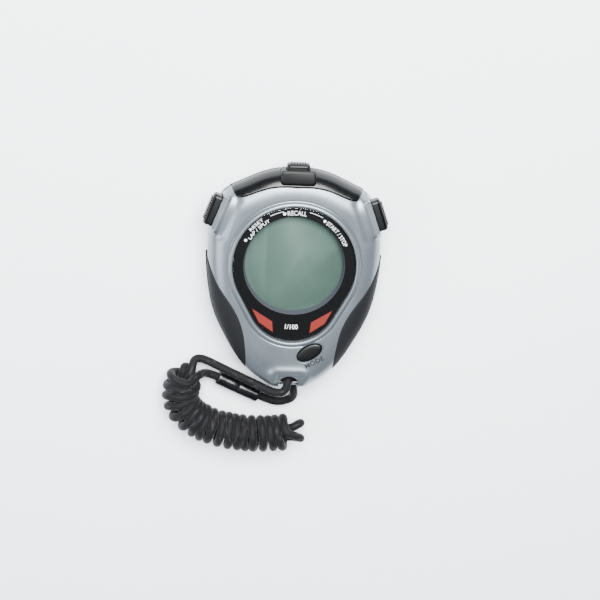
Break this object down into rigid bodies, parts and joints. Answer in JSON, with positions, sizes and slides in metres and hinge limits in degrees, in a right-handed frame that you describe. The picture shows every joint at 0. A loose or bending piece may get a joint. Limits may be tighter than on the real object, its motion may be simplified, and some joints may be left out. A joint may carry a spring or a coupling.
{
  "type": "digital stopwatch",
  "caption": "Egg-shaped handheld digital stopwatch with round display, edge pushers, a mode button, side grips and a wrapped braided neck lanyard with breakaway clasp.",
  "frame": {"origin": "on the table plane under the middle of the stopwatch's own box, which leaves out the lanyard and its clasp", "axes": "the stopwatch lies on its back: +Z out of the display, +Y to 12 o'clock and the recall pusher, +X to the start/stop side"},
  "size_m": [0.0872, 0.123, 0.0208],
  "materials": {
    "silver_abs": "satin metallic silver paint on moulded ABS",
    "black_abs": "fine moulded texture",
    "gloss_black": "satin to gloss moulded black",
    "soft_grip": "matt soft-touch overmould",
    "button_black": "moulded, ribbed",
    "lens_clear": "clear acrylic",
    "print_black": "printed film",
    "lcd": "blank reflective LCD, grey green",
    "reflector": "satin foil",
    "inner_plastic": "dark grey moulded",
    "zebra": "striped silicone",
    "pcb": "solder mask on glass epoxy",
    "chip": "epoxy",
    "steel": "plated steel",
    "brass": "plain",
    "seal_rubber": "plain",
    "ceramic": "plain",
    "cord": "braided polyester",
    "clasp_black": "moulded"
  },
  "bodies": {
    "case": {"front_case": "silver_abs", "rear_case": "black_abs", "case_gasket": "seal_rubber", "case_screws": "steel", "right_grip": "soft_grip", "left_grip": "soft_grip", "top_panel": "gloss_black", "recall_guard": "black_abs", "lens": "lens_clear", "lens_gasket": "seal_rubber", "dial_ring": "print_black", "display_bezel": "inner_plastic", "lcd_panel": "lcd", "lcd_reflector": "reflector", "zebra_strip_upper": "zebra", "zebra_strip_lower": "zebra", "circuit_board": "pcb", "board_screws": "steel", "controller_chip": "chip", "quartz_crystal": "steel", "chip_capacitors": "ceramic", "piezo_buzzer": "brass", "buzzer_springs": "steel", "coin_cell": "steel", "battery_contact_negative": "steel", "battery_contact_positive": "steel", "hatch_seal": "seal_rubber", "mode_dome": "steel", "lanyard_bar": "steel", "lanyard_strand": "cord", "lanyard_hank": "cord", "lanyard_tail": "cord", "clasp_socket": "clasp_black", "clasp_plug": "clasp_black", "start_stop_spring": "steel", "start_stop_switch": "chip", "lap_reset_spring": "steel", "lap_reset_switch": "chip", "recall_spring": "steel", "recall_switch": "chip"},
    "start_stop_button": {"start_stop_pusher": "button_black", "start_stop_seal": "seal_rubber", "start_stop_clip": "steel"},
    "lap_reset_button": {"lap_reset_pusher": "button_black", "lap_reset_seal": "seal_rubber", "lap_reset_clip": "steel"},
    "recall_button": {"recall_pusher": "button_black", "recall_seal": "seal_rubber", "recall_clip": "steel"},
    "mode_key": {"mode_button": "button_black"},
    "hatch": {"battery_hatch": "black_abs"}
  },
  "joints": [
    {"name": "start_stop_press", "type": "slide", "parent": "case", "child": "start_stop_button", "axis": [-0.9354, -0.3535, 0], "range_m": [0, 0.001], "stiffness_N_per_m": 300, "springref_m": -0.002, "deforming": ["start_stop_spring"]},
    {"name": "lap_reset_press", "type": "slide", "parent": "case", "child": "lap_reset_button", "axis": [0.9354, -0.3535, 0], "range_m": [0, 0.001], "stiffness_N_per_m": 300, "springref_m": -0.002, "deforming": ["lap_reset_spring"]},
    {"name": "recall_press", "type": "slide", "parent": "case", "child": "recall_button", "axis": [0, -1, 0], "range_m": [0, 0.001], "stiffness_N_per_m": 300, "springref_m": -0.002, "deforming": ["recall_spring"]},
    {"name": "mode_press", "type": "slide", "parent": "case", "child": "mode_key", "axis": [0, 0, -1], "range_m": [0, 0.0006], "stiffness_N_per_m": 300, "springref_m": -0.002},
    {"name": "hatch_turn", "type": "hinge", "parent": "case", "child": "hatch", "pos_m": [0, 0.0006, 0.0011], "axis": [0, 0, 1], "range_deg": [0, 30]}
  ]
}
